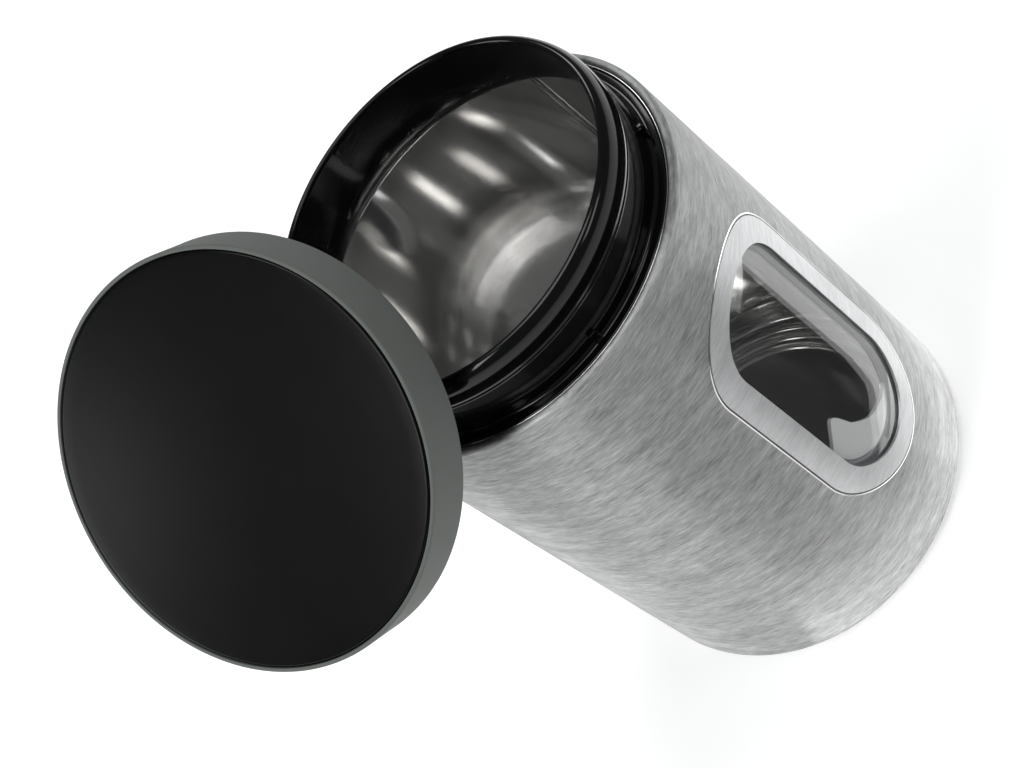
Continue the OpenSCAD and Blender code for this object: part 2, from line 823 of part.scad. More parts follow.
outer_shell();
window_bezel();
window_pane();
window_carrier();
window_gasket();
liner();
liner_cushion();
base_plate();
base_pad();
neck_collar();
collar_gasket();
trim_ring();
lid_cover();
lid_ring();
cam_drum();
lid_base();
mouth_gasket();
slip_ring();
pump_piston();
piston_seal();
drive_pins();
intake_valve();
exhaust_valve();
release_valve();
release_seal();
release_spring();
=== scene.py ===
import bpy, bmesh
from math import atan2, cos, pi, radians, sin, tan
from mathutils import Matrix, Vector


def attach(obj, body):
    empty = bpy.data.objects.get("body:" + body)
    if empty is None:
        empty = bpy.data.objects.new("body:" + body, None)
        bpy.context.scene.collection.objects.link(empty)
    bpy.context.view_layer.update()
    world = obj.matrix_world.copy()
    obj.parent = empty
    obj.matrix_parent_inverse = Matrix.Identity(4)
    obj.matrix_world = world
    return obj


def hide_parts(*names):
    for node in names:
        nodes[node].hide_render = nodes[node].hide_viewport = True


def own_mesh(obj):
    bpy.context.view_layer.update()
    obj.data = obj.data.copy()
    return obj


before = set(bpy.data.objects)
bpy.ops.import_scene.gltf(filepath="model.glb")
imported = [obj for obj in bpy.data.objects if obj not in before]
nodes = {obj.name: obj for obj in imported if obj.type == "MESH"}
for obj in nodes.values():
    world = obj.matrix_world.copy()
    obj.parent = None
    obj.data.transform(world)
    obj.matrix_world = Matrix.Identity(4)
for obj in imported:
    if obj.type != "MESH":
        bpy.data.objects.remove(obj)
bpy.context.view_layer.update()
mm = 0.001

# the camera comes first: a long lens, looking down at 45 degrees, rolled on its side
photoView = {
    "place": (-0.225208, -0.363449, 0.552587),
    "right": (0.221162, -0.781123, -0.583895),
    "up": (0.915202, -0.040585, 0.400946),
    "forward": (0.336885, 0.623056, -0.705910),
    "lens": 76.38,
    "sensor": 36.0,
    "near": 0.01,
    "far": 20.0,
}


def addCamera(view):
    camera = bpy.data.cameras.new("photoCamera")
    camera.lens = view["lens"]
    camera.sensor_width = view["sensor"]
    camera.clip_start, camera.clip_end = view["near"], view["far"]
    holder = bpy.data.objects.new("photoCamera", camera)
    bpy.context.scene.collection.objects.link(holder)
    turn = Matrix((view["right"], view["up"], [-v for v in view["forward"]])).transposed().to_4x4()
    holder.matrix_world = Matrix.Translation(view["place"]) @ turn
    bpy.context.scene.camera = holder
    print("camera set")


addCamera(photoView)
bpy.context.scene.view_settings.view_transform = "Standard"


# shader maths: a socket that takes part in Python expressions
class Wire:
    def __init__(self, finish, socket):
        self.finish, self.socket = finish, socket

    def math(self, operation, left, right):
        return self.finish.add("ShaderNodeMath", {"operation": operation}, {0: left, 1: right})

    def __add__(self, other):
        return self.math("ADD", self, other)

    def __sub__(self, other):
        return self.math("SUBTRACT", self, other)

    def __rsub__(self, other):
        return self.math("SUBTRACT", other, self)

    def __mul__(self, other):
        return self.math("MULTIPLY", self, other)

    def __truediv__(self, other):
        return self.math("DIVIDE", self, other)

    def __pow__(self, other):
        return self.math("POWER", self, other)

    __radd__, __rmul__ = __add__, __mul__


class Finish:
    def __init__(self, name, **constants):
        self.material = bpy.data.materials.new(name)
        self.material.use_nodes = True
        self.tree = self.material.node_tree
        self.shader = self.tree.nodes["Principled BSDF"]
        for socket, value in constants.items():
            self.shader.inputs[socket.replace("_", " ")].default_value = value
        self.place = self.add("ShaderNodeTexCoord", {}, {}, "Object")

    # one node: its settings first, then what goes into its sockets
    def add(self, kind, settings, sockets, out=0):
        node = self.tree.nodes.new(kind)
        for key, value in settings.items():
            if key == "stops":
                ramp = node.color_ramp
                while len(ramp.elements) < len(value):
                    ramp.elements.new(0.5)
                for element, (at, shade) in zip(ramp.elements, value):
                    element.position = at
                    element.color = (*shade, 1)
            else:
                setattr(node, key, value)
        for key, value in sockets.items():
            if isinstance(value, Wire):
                self.tree.links.new(value.socket, node.inputs[key])
            else:
                node.inputs[key].default_value = value
        return Wire(self, node.outputs[out])

    def feed(self, **sockets):
        for socket, wire in sockets.items():
            self.tree.links.new(wire.socket, self.shader.inputs[socket.replace("_", " ")])

    # noise from 0 to 1, with one pace in the round and another up the axis
    def noise(self, around, upward, detail, rough, shift=(0, 0, 0)):
        spot = self.add("ShaderNodeMapping", {}, {
            "Vector": self.place, "Scale": (around, around, upward), "Location": shift})
        return self.add("ShaderNodeTexNoise", {}, {
            "Vector": spot, "Scale": 1.0, "Detail": detail, "Roughness": rough})

    def ramp(self, value, stops):
        return self.add("ShaderNodeValToRGB", {"stops": stops}, {0: value})

    def blend(self, share, first, second):
        return self.add("ShaderNodeMix", {"data_type": "RGBA"}, {
            0: share, 6: (*first, 1), 7: (*second, 1)}, 2)

    def limit(self, value, low, high):
        return self.add("ShaderNodeClamp", {}, {0: value, 1: low, 2: high})

    def bump(self, height, distance):
        return self.add("ShaderNodeBump", {}, {"Height": height, "Distance": distance})


# steel, brushed round the canister's axis: fine scratches and streaks over broad mottling
brushing = {
    "fineShare": 0.44, "streakShare": 0.28, "cloudShare": 0.28,  # in the tone
    "streakSize": (0.6, 0.5), "hairSize": (0.18, 1.5),  # against the fine scratch, along and across
    "cutFrom": 0.62, "cutTo": 0.72,  # hairs past this are dark cuts
    "cloudRough": 0.08,
    "fineDepth": 0.5, "streakDepth": 0.3, "cutDepth": 0.25,
}


def brushedSteel(name, look):
    b = brushing
    steel = Finish(name, Metallic=1.0, Anisotropic=look["stretch"], Anisotropic_Rotation=0.25)
    along, across = look["scratch"]
    fine = steel.noise(along, across, 3.0, 0.65)
    streak = steel.noise(along * b["streakSize"][0], across * b["streakSize"][1], 3.0, 0.6, (3.1, 1.7, 0.4))
    hair = steel.noise(along * b["hairSize"][0], across * b["hairSize"][1], 2.0, 0.5, (0.3, 5.1, 2.2))
    cloud = steel.noise(*look["cloud"], 3.0, 0.55)
    tone = fine * b["fineShare"] + streak * b["streakShare"] + cloud * b["cloudShare"] - 0.5
    cuts = steel.ramp(hair, [(0.0, (0, 0, 0)), (b["cutFrom"], (0, 0, 0)), (b["cutTo"], (1, 1, 1))])
    grey = steel.limit(tone * look["contrast"] + 0.5 - cuts * look["cuts"], 0.0, 1.0)
    smoothest = look["rough"] - look["roughSpread"] / 2 - b["cloudRough"] / 2
    rough = fine * look["roughSpread"] + cloud * b["cloudRough"] + smoothest
    height = fine * b["fineDepth"] + streak * b["streakDepth"] - cuts * b["cutDepth"]
    steel.feed(Base_Color=steel.blend(grey, look["dark"], look["light"]),
               Roughness=steel.limit(rough, 0.05, 0.9), Normal=steel.bump(height, look["depth"] * mm))
    return steel.material


shellSteel = brushedSteel("shellSteel", {
    "rough": 0.5, "roughSpread": 0.2, "stretch": 0.8, "scratch": (290, 2700), "cloud": (60, 230),
    "contrast": 3.5, "cuts": 0.2, "dark": (0.26, 0.265, 0.26), "light": (0.69, 0.7, 0.695), "depth": 0.012})
bezelSteel = brushedSteel("bezelSteel", {
    "rough": 0.48, "roughSpread": 0.14, "stretch": 0.75, "scratch": (240, 3000), "cloud": (50, 120),
    "contrast": 2.4, "cuts": 0.2, "dark": (0.6, 0.605, 0.61), "light": (0.95, 0.96, 0.965), "depth": 0.014})


# polished steel: smooth, with faint drawing lines and clouds
def polishedSteel(name, look):
    steel = Finish(name, Metallic=look["metal"], Anisotropic=look["stretch"], Anisotropic_Rotation=0.25)
    lines = steel.noise(*look["lines"], 3.0, 0.6)
    cloud = steel.noise(55, 40, 3.0, 0.6, (1.3, 0.2, 2.2))
    cloudRough, lineRough = 0.06, 0.05
    rough = cloud * cloudRough + lines * lineRough + (look["rough"] - (cloudRough + lineRough) / 2)
    steel.feed(Base_Color=steel.blend(cloud, look["dark"], look["light"]),
               Roughness=steel.limit(rough, 0.02, 0.8), Normal=steel.bump(lines, look["depth"] * mm))
    return steel.material


linerSteel = polishedSteel("linerSteel", {
    "lines": (60, 1500), "dark": (0.74, 0.735, 0.725), "light": (0.86, 0.855, 0.845), "rough": 0.08,
    "stretch": 0.0, "metal": 0.91, "depth": 0.0008})
brightSteel = polishedSteel("brightSteel", {
    "lines": (120, 1500), "dark": (0.62, 0.62, 0.62), "light": (0.78, 0.78, 0.78), "rough": 0.16,
    "stretch": 0.2, "metal": 1.0, "depth": 0.002})


# moulded plastic and rubber: a base tone with slight clouds, and a fine grain in the skin
def mouldedPlastic(name, look):
    plastic = Finish(name, Specular_IOR_Level=look.get("gloss", 0.5), Coat_Weight=look.get("coat", 0.0),
                     Coat_Roughness=look.get("coatRough", 0.1))
    cloud = plastic.noise(look["cloud"], look["cloud"], 3.0, 0.6)
    grain = plastic.noise(look["grain"], look["grain"], 2.0, 0.5, (0.7, 2.1, 1.4))
    rough = cloud * look["spread"] + (look["rough"] - look["spread"] / 2)
    plastic.feed(Base_Color=plastic.blend(cloud, look["dark"], look["light"]),
                 Roughness=plastic.limit(rough, 0.03, 0.95), Normal=plastic.bump(grain, look["depth"] * mm))
    return plastic.material


collarPlastic = mouldedPlastic("collarPlastic", {
    "dark": (0.0015, 0.0015, 0.0018), "light": (0.003, 0.003, 0.0035), "rough": 0.1, "spread": 0.08,
    "gloss": 0.35, "cloud": 70, "grain": 500, "depth": 0.003})
coverPlastic = mouldedPlastic("coverPlastic", {
    "dark": (0.0022, 0.0022, 0.0026), "light": (0.0032, 0.0032, 0.0036), "rough": 0.24, "spread": 0.04,
    "gloss": 0.15, "cloud": 60, "grain": 3500, "depth": 0.012})
# a grey-green tone far lighter than the cover's black: partly the ring's own tone, partly painted light that
# its satin black side catches
ringPlasticPaintedLight = mouldedPlastic("ringPlasticPaintedLight", {
    "dark": (0.13, 0.142, 0.131), "light": (0.147, 0.159, 0.148), "rough": 0.6, "spread": 0.06,
    "gloss": 0.2, "cloud": 80, "grain": 3000, "depth": 0.01})
basePlastic = mouldedPlastic("basePlastic", {
    "dark": (0.02, 0.02, 0.022), "light": (0.03, 0.03, 0.032), "rough": 0.45, "spread": 0.1,
    "cloud": 90, "grain": 2500, "depth": 0.02})
greyPlastic = mouldedPlastic("greyPlastic", {
    "dark": (0.5, 0.51, 0.51), "light": (0.6, 0.61, 0.61), "rough": 0.35, "spread": 0.1,
    "cloud": 90, "grain": 2500, "depth": 0.01})
carrierPlastic = mouldedPlastic("carrierPlastic", {
    "dark": (0.4, 0.405, 0.41), "light": (0.46, 0.465, 0.47), "rough": 0.12, "spread": 0.04,
    "gloss": 0.8, "coat": 1.0, "coatRough": 0.03, "cloud": 60, "grain": 2200, "depth": 0.001})
sillPlastic = mouldedPlastic("sillPlastic", {
    "dark": (0.84, 0.845, 0.84), "light": (0.9, 0.905, 0.9), "rough": 0.3, "spread": 0.1,
    "cloud": 60, "grain": 1500, "depth": 0.01})
slidePlastic = mouldedPlastic("slidePlastic", {
    "dark": (0.68, 0.67, 0.63), "light": (0.78, 0.77, 0.73), "rough": 0.4, "spread": 0.1,
    "cloud": 90, "grain": 2500, "depth": 0.01})
siliconeGrey = mouldedPlastic("siliconeGrey", {
    "dark": (0.36, 0.38, 0.37), "light": (0.44, 0.46, 0.45), "rough": 0.55, "spread": 0.1,
    "cloud": 70, "grain": 1800, "depth": 0.02})
sealRubber = mouldedPlastic("sealRubber", {
    "dark": (0.02, 0.02, 0.02), "light": (0.035, 0.035, 0.035), "rough": 0.6, "spread": 0.1,
    "cloud": 80, "grain": 2500, "depth": 0.03})
padRubber = mouldedPlastic("padRubber", {
    "dark": (0.016, 0.016, 0.016), "light": (0.028, 0.028, 0.028), "rough": 0.7, "spread": 0.1,
    "cloud": 60, "grain": 2600, "depth": 0.05})


# clear pane: looks straight through, with mirror gloss that grows at glancing angles
def clearPane(name, look):
    pane = Finish(name, Roughness=look["rough"])
    smear = pane.noise(40, 25, 3.0, 0.6)
    gloss = pane.add("ShaderNodeBsdfGlossy", {}, {"Color": (1, 1, 1, 1), "Roughness": look["rough"]})
    through = pane.add("ShaderNodeBsdfTransparent", {}, {"Color": (*look["tint"], 1)})
    facing = pane.add("ShaderNodeLayerWeight", {}, {"Blend": 0.5}, "Facing")
    headOn = 0.04  # the share that clear plastic mirrors when seen straight on
    share = (facing ** 5 * (1 - headOn) + headOn) * look["gloss"] + smear * look["haze"]
    mixed = pane.add("ShaderNodeMixShader", {}, {0: pane.limit(share, 0.0, 1.0), 1: through, 2: gloss})
    end = pane.tree.nodes["Material Output"]
    pane.tree.links.new(mixed.socket, end.inputs["Surface"])
    return pane.material


clearPlastic = clearPane("clearPlastic", {
    "tint": (0.955, 0.96, 0.96), "rough": 0.03, "gloss": 1.6, "haze": 0.02})


# weld: painted shade and painted highlight, as dark and bright lines side by side that run up the liner along
# its ridges, across Y in millimetres
def weldedSteel(name, look):
    weld = Finish(name, Metallic=1.0)
    spot = weld.add("ShaderNodeSeparateXYZ", {}, {0: weld.place}, "Y")
    wander = weld.noise(0, 90, 2.0, 0.5)
    across = (spot * (1 / mm) + wander * look["wander"] - look["middle"] + look["half"]) / (look["half"] * 2)
    weld.feed(Base_Color=weld.ramp(across, look["stops"]),
              Roughness=weld.limit(wander * 0.1 + 0.1, 0.05, 0.5))
    return weld.material


# plain steel beside the weld; the weld's dark lines are painted shade and its bright lines painted highlight
plainWeld, weldPaintedShade, weldPaintedHighlight = (0.75, 0.75, 0.74), (0.1, 0.1, 0.1), (0.95, 0.95, 0.94)
weldSteel = weldedSteel("weldSteel", {
    "middle": 1.98, "half": 1.5, "wander": 0.5, "stops": [
        (0.1, plainWeld), (0.2, weldPaintedShade), (0.3, weldPaintedHighlight), (0.42, weldPaintedShade), (0.52, weldPaintedHighlight),
        (0.62, weldPaintedHighlight), (0.7, weldPaintedShade), (0.82, weldPaintedHighlight), (0.9, plainWeld)]})
print("materials made")


def inMetres(points):
    return [Vector(p) * mm for p in points]


# outlines: corners (radius, height, rounding) in millimetres become points in metres
def rounded(corners, steps=6):
    points = []
    for i, (r, z, rounding) in enumerate(corners):
        here = Vector((r, z))
        if not rounding:
            points.append(here * mm)
            continue
        before = (Vector(corners[i - 1][:2]) - here).normalized()
        after = (Vector(corners[(i + 1) % len(corners)][:2]) - here).normalized()
        half = before.angle(after) / 2
        centre = here + (before + after).normalized() * (rounding / sin(half))
        start = here + before * (rounding / tan(half)) - centre
        end = here + after * (rounding / tan(half)) - centre
        first = atan2(start.y, start.x)
        sweep = (atan2(end.y, end.x) - first + pi) % (2 * pi) - pi
        for k in range(steps + 1):
            at = first + sweep * k / steps
            points.append((centre + Vector((cos(at), sin(at))) * rounding) * mm)
    return points


# points of an arc in millimetres, from its middle, its reach out and up, and its turns in degrees
def arc(r, z, out, up, turns):
    return [(r + out * cos(radians(t)), z + up * sin(radians(t))) for t in turns]


def linkPiece(name, bm, material, matrix=None):
    if matrix is not None:
        bmesh.ops.transform(bm, matrix=matrix, verts=bm.verts)
    mesh = bpy.data.meshes.new(name)
    bm.to_mesh(mesh)
    bm.free()
    mesh.materials.append(material)
    piece = bpy.data.objects.new(name, mesh)
    bpy.context.scene.collection.objects.link(piece)
    return piece


# spins an outline round the Z axis
def spunMesh(points, steps=256, start=0.0, sweep=2 * pi):
    bm = bmesh.new()
    verts = [bm.verts.new((p[0] * cos(start), p[0] * sin(start), p[1])) for p in points]
    pairs = zip(verts, verts[1:] + verts[:1])
    edges = [bm.edges.new((a, b)) for a, b in pairs if a.co.xy.length + b.co.xy.length > 1e-9]
    full = abs(sweep - 2 * pi) < 1e-6
    spun = bmesh.ops.spin(bm, geom=verts + edges, cent=(0, 0, 0), axis=(0, 0, 1), dvec=(0, 0, 0), angle=sweep,
                          steps=steps, use_merge=full, use_normal_flip=False, use_duplicate=False)
    if not full:
        bmesh.ops.contextual_create(bm, geom=verts + edges)
        bmesh.ops.contextual_create(bm, geom=spun["geom_last"][:])
    bmesh.ops.remove_doubles(bm, verts=bm.verts, dist=1e-7)
    bmesh.ops.dissolve_degenerate(bm, dist=1e-8, edges=bm.edges)
    bmesh.ops.recalc_face_normals(bm, faces=bm.faces)
    return bm


# a curved upright sheet that faces the front and turns by half, in degrees, to each side
def frontSheet(outer, inner, low, high, steps, half):
    outline = inMetres(((outer, low), (outer, high), (inner, high), (inner, low)))
    return spunMesh(outline, steps, -pi / 2 - radians(half), 2 * radians(half))


# pushes a flat mesh out into a closed prism
def pushOut(bm, reach):
    pushed = bmesh.ops.extrude_face_region(bm, geom=bm.faces[:])
    moved = [g for g in pushed["geom"] if isinstance(g, bmesh.types.BMVert)]
    bmesh.ops.translate(bm, vec=reach, verts=moved)
    bmesh.ops.recalc_face_normals(bm, faces=bm.faces)


# a filled circle in the XZ plane, turned by half a segment
def uprightDisc(bm, radius, segments):
    upright = Matrix.Rotation(pi / 2, 4, "X") @ Matrix.Rotation(pi / segments, 4, "Z")
    bmesh.ops.create_circle(bm, cap_ends=True, segments=segments, radius=radius * mm, matrix=upright)


# a long prism with round ends, standing upright and sent out through the front
def windowCutter(halfWidth, height, middle, near=0.03, far=0.08):
    bm = bmesh.new()
    uprightDisc(bm, halfWidth, 96)
    straight = (height / 2 - halfWidth) * mm
    for v in bm.verts:
        v.co.z += straight if v.co.z > 0 else -straight
    bmesh.ops.translate(bm, vec=(0, -near, middle * mm), verts=bm.verts)
    pushOut(bm, (0, near - far, 0))
    return linkPiece("cutter", bm, clearPlastic)


def carve(piece, cutter, operation):
    change = piece.modifiers.new("carve", "BOOLEAN")
    change.operation = operation
    change.solver = "EXACT"
    change.object = cutter
    depsgraph = bpy.context.evaluated_depsgraph_get()
    carved = bpy.data.meshes.new_from_object(piece.evaluated_get(depsgraph))
    piece.modifiers.clear()
    old = piece.data
    carved.name = old.name
    piece.data = carved
    bpy.data.meshes.remove(old)
    bpy.data.objects.remove(cutter)


def bevelEdges(bm, edges, width, segments=2):
    bmesh.ops.bevel(bm, geom=edges, offset=width * mm, offset_type="OFFSET", affect="EDGES",
                    segments=segments, profile=0.5, material=-1, clamp_overlap=True)


# softens the edges that are sharper than so many degrees and that the test picks
def softenEdges(piece, width, picks=lambda edge: True, segments=2, sharp=40):
    bm = bmesh.new()
    bm.from_mesh(piece.data)
    bmesh.ops.remove_doubles(bm, verts=bm.verts, dist=2e-6)
    edges = [e for e in bm.edges if len(e.link_faces) == 2 and e.calc_face_angle(0) > radians(sharp)]
    bevelEdges(bm, [e for e in edges if picks(e)], width, segments)
    bm.to_mesh(piece.data)
    bm.free()


# smooth shading; upright walls round the Z axis get their exact normals
def shadeRound(piece, sharp=40, walls=True):
    mesh = piece.data
    for face in mesh.polygons:
        face.use_smooth = True
    mesh.set_sharp_from_angle(angle=radians(sharp))
    if not walls:
        return
    upright, outward = 0.02, 0.985  # the most that a wall's face leans, and the least that it faces out
    normals = [Vector(c.vector) for c in mesh.corner_normals]
    for face in mesh.polygons:
        if abs(face.normal.z) > upright:
            continue
        for loop in face.loop_indices:
            co = mesh.vertices[mesh.loops[loop].vertex_index].co
            radial = Vector((co.x, co.y, 0)).normalized()
            facing = radial.dot(face.normal)
            if abs(facing) > outward:
                normals[loop] = radial if facing > 0 else -radial
    mesh.normals_split_custom_set([n[:] for n in normals])


def finishPiece(piece, body, slot, *replaced):
    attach(piece, body)
    if replaced:
        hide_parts(*replaced)


# shell: sizes and heights in millimetres from the underside of the pad
shell = {"radius": 60.0, "wall": 0.8, "bottom": 1.0, "top": 164.8, "topRoll": 1.5, "bottomRoll": 3.0,
         "bottomBend": 4.5, "topBend": 2.6, "hem": 57.7, "hemDepth": 3.0, "hemRound": 0.7, "hemTuck": 1.5,
         "hemUnder": 2.3, "flange": 54.0, "flangeRound": 0.3, "windowGap": 0.4, "windowEdge": 0.4,
         "edgeRound": 0.15}
# window frame, flush with the shell; its sheet turns as many degrees to each side as sheetTurn
bezel = {"halfWidth": 26.95, "height": 108.6, "border": 7.5, "middle": 87.1, "edgeRound": 0.3,
         "sheetTurn": 32, "margin": 2.0}


def buildShell():
    s, b = shell, bezel
    inner, hemIn = s["radius"] - s["wall"], s["hem"] + s["wall"]
    outline = rounded([
        (s["flange"], s["bottom"], s["flangeRound"]), (s["radius"], s["bottom"], s["bottomRoll"]),
        (s["radius"], s["bottom"] + s["bottomBend"], 0), (s["radius"], s["top"] - s["topBend"], 0),
        (s["radius"], s["top"], s["topRoll"]), (s["hem"], s["top"], s["hemRound"]),
        (s["hem"], s["top"] - s["hemDepth"], 0), (hemIn, s["top"] - s["hemDepth"], 0),
        (hemIn, s["top"] - s["hemTuck"], 0), (inner, s["top"] - s["hemUnder"], 0),
        (inner, s["bottom"] + s["wall"], s["bottomRoll"] - s["wall"]),
        (s["flange"], s["bottom"] + s["wall"], s["flangeRound"])], 8)
    piece = linkPiece("shellBody", spunMesh(outline, 288), shellSteel)
    out = s["windowGap"] + s["windowEdge"] - 0.01  # the bright edge sinks into the shell by this last bit
    carve(piece, windowCutter(b["halfWidth"] + out, b["height"] + 2 * out, b["middle"]), "DIFFERENCE")
    shadeRound(piece, 50)
    finishPiece(piece, "canister", "shell_steel", "outer_shell")


# a flush ring with round ends, cut from a curved sheet
def windowRing(name, halfWidth, height, border, edgeRound, material):
    b, s = bezel, shell
    reach = height / 2 + b["margin"]
    sheet = frontSheet(s["radius"], s["radius"] - s["wall"], b["middle"] - reach, b["middle"] + reach,
                       72, b["sheetTurn"])
    piece = linkPiece(name, sheet, material)
    carve(piece, windowCutter(halfWidth, height, b["middle"]), "INTERSECT")
    opening = windowCutter(halfWidth - border, height - 2 * border, b["middle"], 0.02, 0.09)
    carve(piece, opening, "DIFFERENCE")
    skin = (s["radius"] - 0.05) * mm  # only the outer edges lie past this
    softenEdges(piece, edgeRound, lambda e: all(v.co.xy.length > skin for v in e.verts), 3)
    shadeRound(piece, 50)
    return piece


# the bezel, and the shell's bright edge outside its gap
def buildBezel():
    b, s = bezel, shell
    border = windowRing("windowFrame", b["halfWidth"], b["height"], b["border"], b["edgeRound"], bezelSteel)
    finishPiece(border, "canister", "bezel_steel", "window_bezel")
    out = s["windowGap"] + s["windowEdge"]
    edge = windowRing("windowEdge", b["halfWidth"] + out, b["height"] + 2 * out, s["windowEdge"],
                      s["edgeRound"], brightSteel)
    finishPiece(edge, "canister", "bright_steel")


# pane: it laps behind the bezel on all sides
pane = {"outer": 59.0, "inner": 57.5, "lap": 3.5, "sheetTurn": 28}


def buildPane():
    b, p = bezel, pane
    reach = b["height"] / 2
    sheet = frontSheet(p["outer"], p["inner"], b["middle"] - reach, b["middle"] + reach, 96, p["sheetTurn"])
    piece = linkPiece("windowPane", sheet, clearPlastic)
    halfWidth = b["halfWidth"] - b["border"] + p["lap"]
    height = b["height"] - 2 * b["border"] + 2 * p["lap"]
    carve(piece, windowCutter(halfWidth, height, b["middle"]), "INTERSECT")
    shadeRound(piece, 50)
    finishPiece(piece, "canister", "clear_pane", "window_pane")


buildShell()
buildBezel()
buildPane()
print("shell and window built")

# liner: floor rings, wall beads, and the cut-out behind the window
liner = {"radius": 55.2, "wall": 0.6, "floor": 7.0, "corner": 4.0, "rim": 162.8,
         "beadRise": 0.7, "beadWidth": 2.4, "floorBeads": (43.2, 46.8, 50.4), "wallBeads": (13.5, 24.0),
         "floorFlat": 0.4, "wallFlat": 0.6, "beadFlat": 0.5,  # straight bits beside the corner and beads
         "cutHalf": 18.25, "cutHeight": 89.2, "cutMiddle": 88.6, "cutRound": 0.12}


def beadPoints(across, rise, steps=8):
    shares = [k / steps - 0.5 for k in range(steps + 1)]
    return [(across * t, rise * (1 + cos(2 * pi * t)) / 2) for t in shares]


def buildLiner():
    n = liner
    cornerIn, cornerUp = n["radius"] - n["corner"], n["floor"] + n["corner"]
    bead = beadPoints(n["beadWidth"], n["beadRise"])
    inside = [(0.0, n["floor"])]
    for r in n["floorBeads"]:
        inside += [(r + a, n["floor"] + h) for a, h in bead]
    inside.append((cornerIn - n["floorFlat"], n["floor"]))
    inside += arc(cornerIn, cornerUp, n["corner"], n["corner"], [7.5 * k - 90 for k in range(13)])
    inside.append((n["radius"], cornerUp + n["wallFlat"]))
    for z in n["wallBeads"]:
        inside += [(n["radius"] - h, z + a) for a, h in bead]
        inside.append((n["radius"], z + n["beadWidth"] / 2 + n["beadFlat"]))
    inside.append((n["radius"], n["rim"]))
    reach = n["corner"] + n["wall"]
    outside = [(n["radius"] + n["wall"], n["rim"])]
    outside += arc(cornerIn, cornerUp, reach, reach, [-11.25 * k for k in range(9)])
    outside.append((0.0, n["floor"] - n["wall"]))
    piece = linkPiece("liner", spunMesh(inMetres(inside + outside), 288), linerSteel)
    carve(piece, windowCutter(n["cutHalf"], n["cutHeight"], n["cutMiddle"]), "DIFFERENCE")
    skin = (n["radius"] + 0.1) * mm  # only the cut-out's inner edges lie within this
    ends = [(n["cutMiddle"] + way * (n["cutHeight"] / 2 + 1)) * mm for way in (-1, 1)]
    softenEdges(piece, n["cutRound"], lambda e: all(
        v.co.y < 0 and ends[0] < v.co.z < ends[1] and v.co.xy.length < skin for v in e.verts))
    shadeRound(piece)
    finishPiece(piece, "canister", "liner_steel", "liner")


# the liner's weld: a low double ridge up its wall, as points across it and in from the wall
seam = {"turn": 1.8, "low": 26.0, "underRim": 1.5, "ridge": (
    (-1.5, 0.0), (-1.2, 0.12), (-0.9, 0.34), (-0.55, 0.1), (-0.25, 0.12), (0.0, 0.24), (0.25, 0.12),
    (0.55, 0.1), (0.9, 0.34), (1.2, 0.12), (1.5, 0.0), (1.2, -0.2), (-1.2, -0.2))}


def buildSeam():
    bm = bmesh.new()
    ring = []
    for across, rise in seam["ridge"]:
        at, out = across / liner["radius"], liner["radius"] - rise
        ring.append(bm.verts.new(Vector((out * cos(at), out * sin(at), seam["low"])) * mm))
    bm.faces.new(ring)
    pushOut(bm, (0, 0, (liner["rim"] - seam["underRim"] - seam["low"]) * mm))
    piece = linkPiece("weldSeam", bm, weldSteel, Matrix.Rotation(radians(seam["turn"]), 4, "Z"))
    shadeRound(piece, 60, walls=False)
    finishPiece(piece, "canister", "liner_steel")


# the sill: the pale lower lip of the window's carrier, with a cut-out on one side
sill = {"near": 57.3, "far": 56.2, "low": 34.0, "high": 72.0, "sheetTurn": 26, "edgeRound": 0.12, "edge": (
    (-24.0, 62.0), (-19.6, 62.6), (-17.0, 64.6), (-14.2, 68.0), (-11.6, 70.6), (-10.0, 69.0), (-8.8, 64.4),
    (-7.7, 60.2), (-4.0, 54.1), (-1.2, 51.4), (2.1, 49.5), (6.0, 47.6), (10.4, 47.1), (14.6, 47.2),
    (18.5, 48.6), (22.0, 52.0), (24.0, 56.0))}


# a prism from an outline seen from the front, sent out through the front
def outlineCutter(points, near=0.03, far=0.08):
    bm = bmesh.new()
    bm.faces.new([bm.verts.new((x * mm, -near, z * mm)) for x, z in points])
    pushOut(bm, (0, near - far, 0))
    return linkPiece("cutter", bm, clearPlastic)


# a smooth line through given points
def smoothLine(points, steps=5):
    line = []
    for i in range(len(points) - 1):
        p0, p1, p2, p3 = (Vector(points[min(max(i + k, 0), len(points) - 1)]) for k in (-1, 0, 1, 2))
        for k in range(steps):
            t = k / steps
            line.append(0.5 * (2 * p1 + (p2 - p0) * t + (2 * p0 - 5 * p1 + 4 * p2 - p3) * t ** 2
                               + (3 * p1 - p0 - 3 * p2 + p3) * t ** 3))
    return line + [Vector(points[-1])]


def buildSill():
    s = sill
    sheet = frontSheet(s["near"], s["far"], s["low"], s["high"], 96, s["sheetTurn"])
    piece = linkPiece("windowSill", sheet, sillPlastic)
    feet = [(s["edge"][-1][0], s["low"]), (s["edge"][0][0], s["low"])]
    carve(piece, outlineCutter(smoothLine(s["edge"]) + feet), "INTERSECT")
    softenEdges(piece, s["edgeRound"], sharp=60)
    shadeRound(piece)
    finishPiece(piece, "canister", "grey_plastic")


buildLiner()
buildSeam()
buildSill()
print("liner built")

# neck collar: a tall black ring with a rolled lip and a flared inner wall; the crease under its lip
# is given as shares of the way out from neck to lip, with heights from creaseHeight
collar = {"neck": 53.6, "lip": 54.0, "crown": 51.2, "mouth": 50.5, "top": 186.2, "crownDrop": 5.5,
          "mouthDrop": 0.8, "creaseHeight": 177.2,
          "crease": ((0.0, -0.9), (0.05, -0.5), (0.3, -0.1), (0.75, 0.3), (1.0, 0.8), (1.0, 1.6)),
          "flange": 56.8, "flangeRound": 0.5, "flangeTop": 1.0,
          "foot": 164.2, "footRound": 1.2, "footTop": 2.0, "low": 155.8,
          "throat": 54.7, "throatEnd": 161.2, "throatPower": 7,
          "ledge": 55.1, "ledgeDrop": 0.8, "skirt": 55.9}


